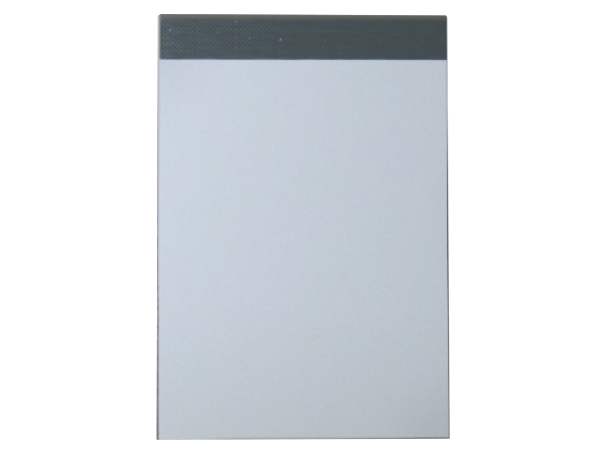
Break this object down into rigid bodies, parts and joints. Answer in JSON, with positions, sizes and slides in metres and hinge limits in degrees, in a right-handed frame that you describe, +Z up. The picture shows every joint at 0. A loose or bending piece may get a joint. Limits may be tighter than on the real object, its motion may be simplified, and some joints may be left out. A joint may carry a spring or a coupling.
{
  "type": "notepad",
  "caption": "Head-bound writing pad of plain pale sheets on a grey board, with a dark woven cloth tape folded over the glued head.",
  "frame": {"origin": "where the pad lies on its back, under the middle of its outline", "axes": "+Z up through the sheets, +Y towards the bound head, +X to the right of someone who writes on it"},
  "size_m": [0.1396, 0.2032, 0.006],
  "materials": {
    "sheet_paper": "matte",
    "grey_board": "matte",
    "padding_glue": "satin",
    "binding_cloth": "satin"
  },
  "bodies": {
    "root": {"page_block": "sheet_paper", "backing_board": "grey_board", "head_glue": "padding_glue", "binding_tape": "binding_cloth"}
  },
  "joints": []
}
